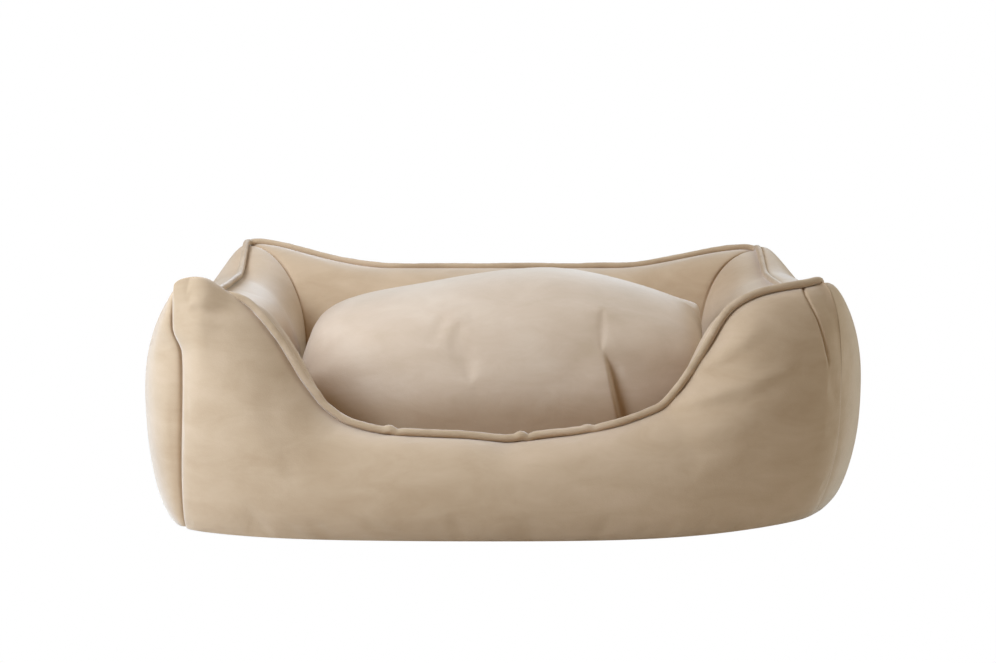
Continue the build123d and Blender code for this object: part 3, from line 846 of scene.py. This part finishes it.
tape_weave, tree, surface = new_material("zip_tape_weave")
place = add(tree, "ShaderNodeTexCoord").outputs["Object"]
ribs = add(
    tree,
    "ShaderNodeTexWave",
    {"Vector": place, "Scale": 480.0, "Distortion": 0.6, "Detail": 1.0},
    bands_direction="DIAGONAL",
)
ramp = add(tree, "ShaderNodeValToRGB", {"Fac": ribs.outputs["Fac"]})
ramp.color_ramp.elements[0].color = hex_colour("#9C8368")
ramp.color_ramp.elements[1].color = hex_colour("#BCA288")
bump = add(tree, "ShaderNodeBump", {"Height": ribs.outputs["Fac"], "Strength": 0.5, "Distance": 0.0002})
shader = add(
    tree,
    "ShaderNodeBsdfPrincipled",
    {
        "Base Color": ramp.outputs["Color"],
        "Roughness": 0.85,
        "Sheen Weight": 0.1,
        "Normal": bump.outputs["Normal"],
    },
)
tree.links.new(shader.outputs["BSDF"], surface)

nylon, tree, surface = new_material("zip_nylon")
shader = add(
    tree,
    "ShaderNodeBsdfPrincipled",
    {
        "Base Color": hex_colour("#A68D72"),
        "Roughness": 0.38,
        "Subsurface Weight": 0.1,
        "Subsurface Scale": 0.001,
    },
)
tree.links.new(shader.outputs["BSDF"], surface)

plated, tree, surface = new_material("zip_metal")
place = add(tree, "ShaderNodeTexCoord").outputs["Object"]
wear = add(tree, "ShaderNodeTexNoise", {"Vector": place, "Scale": 900.0, "Detail": 4.0})
rough = add(tree, "ShaderNodeMapRange", {"Value": wear.outputs["Fac"], "To Min": 0.22, "To Max": 0.42})
shader = add(
    tree,
    "ShaderNodeBsdfPrincipled",
    {"Base Color": hex_colour("#A9A397"), "Metallic": 1.0, "Roughness": rough.outputs["Result"]},
)
tree.links.new(shader.outputs["BSDF"], surface)

thread, tree, surface = new_material("sewing_thread")
shader = add(tree, "ShaderNodeBsdfPrincipled", {"Base Color": hex_colour("#C9B294"), "Roughness": 0.6})
tree.links.new(shader.outputs["BSDF"], surface)

for half, name in ((1, "upper"), (-1, "lower")):
    x = np.linspace(-zip_reach - tape_overrun, zip_reach + tape_overrun, 160)
    sway = tape_sway * np.sin(x * 90 + half)
    low, high = sorted((half * row_gap / 2, half * (row_gap / 2 + tape_height)))
    inside_y, outside_y = back_edge - tape_depth, back_edge + tape_thickness
    section = ((inside_y, low), (inside_y, high), (outside_y, high), (outside_y, low))
    ring = np.array(
        [
            [(px, y, zip_height + z + (w if abs(z) > sewn_edge else 0)) for y, z in section]
            for px, w in zip(x, sway)
        ]
    )
    index = np.arange(len(x) * 4).reshape(len(x), 4)
    after = np.roll(index, -1, axis=1)
    faces = np.stack([index[:-1], after[:-1], after[1:], index[1:]], axis=-1).reshape(-1, 4).tolist()
    faces += [index[0][::-1].tolist(), index[-1].tolist()]
    tape = mesh_piece(f"zip_{name}_woven_tape", ring, faces, [tape_weave], smooth=False)
    close_holes(tape)
    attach(tape, "cushion")
    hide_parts(f"zip_{name}_tape")

stitching, given, result = geometry_group(
    "running_stitch", {"Pitch": "Float", "Length": "Float", "Thread radius": "Float", "Material": "Material"}
)
line = add(stitching, "GeometryNodeMeshToCurve", {"Mesh": given["Geometry"]})
spaced = add(
    stitching,
    "GeometryNodeResampleCurve",
    {"Curve": line.outputs[0], "Length": given["Pitch"]},
    mode="LENGTH",
)
ball = add(stitching, "GeometryNodeMeshUVSphere", {"Segments": 8, "Rings": 6, "Radius": 0.5})
across = add(stitching, "ShaderNodeMath", {0: given["Thread radius"], 1: 2.0}, operation="MULTIPLY")
size = add(
    stitching,
    "ShaderNodeCombineXYZ",
    {"X": given["Length"], "Y": across.outputs[0], "Z": across.outputs[0]},
)
tangent = add(stitching, "GeometryNodeInputTangent")
turned = add(stitching, "FunctionNodeAlignRotationToVector", {"Vector": tangent.outputs[0]}, axis="X")
sewn_on = add(
    stitching,
    "GeometryNodeInstanceOnPoints",
    {
        "Points": spaced.outputs[0],
        "Instance": ball.outputs["Mesh"],
        "Rotation": turned.outputs[0],
        "Scale": size.outputs[0],
    },
)
real = add(stitching, "GeometryNodeRealizeInstances", {"Geometry": sewn_on.outputs[0]})
painted = add(
    stitching,
    "GeometryNodeSetMaterial",
    {"Geometry": real.outputs[0], "Material": given["Material"]},
)
stitching.links.new(painted.outputs[0], result["Geometry"])

cover_points = coordinates(cushion.data)
for half, name in ((1, "upper"), (-1, "lower")):
    x = np.linspace(-zip_reach, zip_reach, 200)
    target = zip_height + half * (zip_opening + stitch_setback)
    near = cover_points[
        (cover_points[:, 1] > back_edge - 0.02)
        & (half * (cover_points[:, 2] - target) < 0.004)
        & (half * (cover_points[:, 2] - zip_height) > zip_opening * 0.8)
    ]
    line_points = []
    for px in x:
        close = near[np.argsort((near[:, 0] - px) ** 2 + (near[:, 2] - target) ** 2)[:4]]
        line_points.append((px, close[:, 1].mean() + 0.0002, close[:, 2].mean()))
    line_points = np.array(line_points)
    kernel = np.hanning(13)[1:-1] / np.hanning(13).sum()
    smooth_y, smooth_z = (
        np.convolve(np.pad(line_points[:, k], 5, "edge"), kernel, "valid") for k in (1, 2)
    )
    path = np.stack([x, smooth_y + stitch_rise, smooth_z], axis=-1)
    edges = [(i, i + 1) for i in range(len(path) - 1)]
    stitches = mesh_piece(f"zip_{name}_stitches", path, [], [thread], edges=edges)
    grown(
        stitches,
        stitching,
        pitch=stitch_pitch,
        length=stitch_length,
        thread_radius=thread_radius,
        material=thread,
    )
    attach(stitches, "cushion")

for node, material in {
    "zip_upper_teeth": nylon,
    "zip_lower_teeth": nylon,
    "zip_closed_stop": plated,
    "zip_open_stop": plated,
    "zip_slider": plated,
    "zip_pull": plated,
}.items():
    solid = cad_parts[node]
    solid.data.materials.clear()
    solid.data.materials.append(material)

# The studio.
# The bed stands on a pale sweep that runs up behind it. A cool key box lights it from the upper left and
# front, a weaker fill from the right and a soft box from above, in a warm room.
paper, tree, surface = new_material("studio_paper")
seen = add(tree, "ShaderNodeLightPath").outputs["Is Camera Ray"]
paper_glow = add(tree, "ShaderNodeEmission", {"Color": hex_colour("#FFFFFF"), "Strength": 1.0})
paper_grey = add(tree, "ShaderNodeBsdfDiffuse", {"Color": hex_colour("#E6E4E0")})
paper_mix = add(tree, "ShaderNodeMixShader", {0: seen, 1: paper_grey.outputs[0], 2: paper_glow.outputs[0]})
tree.links.new(paper_mix.outputs[0], surface)
bend = [(2.5 + 1.5 * sin(a), 1.5 - 1.5 * cos(a)) for a in np.linspace(0, pi / 2, 24)]
profile = [(-5.0, 0.0)] + bend + [(4.0, 6.0)]
sweep_points = [(x, y, z) for x in (-8, 8) for y, z in profile]
sweep_faces = [(i, i + 1, i + 1 + len(profile), i + len(profile)) for i in range(len(profile) - 1)]
sweep = mesh_piece("studio_sweep", sweep_points, sweep_faces, [paper])

scene = bpy.context.scene
world = bpy.data.worlds.new("studio")
world.use_nodes = True
world_tree = world.node_tree
room = world_tree.nodes["Background"]
room.inputs["Color"].default_value = hex_colour("#FFE9C3")
room.inputs["Strength"].default_value = 0.24
backdrop = add(world_tree, "ShaderNodeBackground", {"Color": hex_colour("#FFFFFF"), "Strength": 1.0})
seen = add(world_tree, "ShaderNodeLightPath").outputs["Is Camera Ray"]
either = add(world_tree, "ShaderNodeMixShader", {0: seen, 1: room.outputs[0], 2: backdrop.outputs[0]})
world_tree.links.new(either.outputs[0], world_tree.nodes["World Output"].inputs["Surface"])
scene.world = world
scene.view_settings.view_transform = "Standard"


bed_middle = (0, 0, 0.15)


def soft_box(name, place, side, power, colour):
    """A square area light that looks at the bed's middle."""
    light = bpy.data.lights.new(name, "AREA")
    light.shape, light.size, light.size_y, light.energy = "RECTANGLE", side, side, power
    light.color = hex_colour(colour)[:3]
    lamp = bpy.data.objects.new(name, light)
    lamp.location = place
    lamp.rotation_euler = (Vector(bed_middle) - Vector(place)).to_track_quat("-Z", "Y").to_euler()
    scene.collection.objects.link(lamp)


soft_box("key_box", (-1.15, -0.85, 1.05), 0.8, 35, "#CFE4FF")
soft_box("fill_box", (1.9, 0.2, 1.1), 1.2, 20.5, "#E5F6FF")
soft_box("top_box", (-0.7, 0.3, 1.6), 1.2, 10, "#E4EEFF")

image_width, focal_pixels, camera_tilt = 996, 1837.0, 7.2
camera_data = bpy.data.cameras.new("camera")
camera_data.sensor_width = 36.0
camera_data.lens = focal_pixels * camera_data.sensor_width / image_width
camera = bpy.data.objects.new("camera", camera_data)
camera.location = (-0.0066, -2.42, 0.509)
camera.rotation_euler = (radians(90 - camera_tilt), 0, 0)
scene.collection.objects.link(camera)
scene.camera = camera
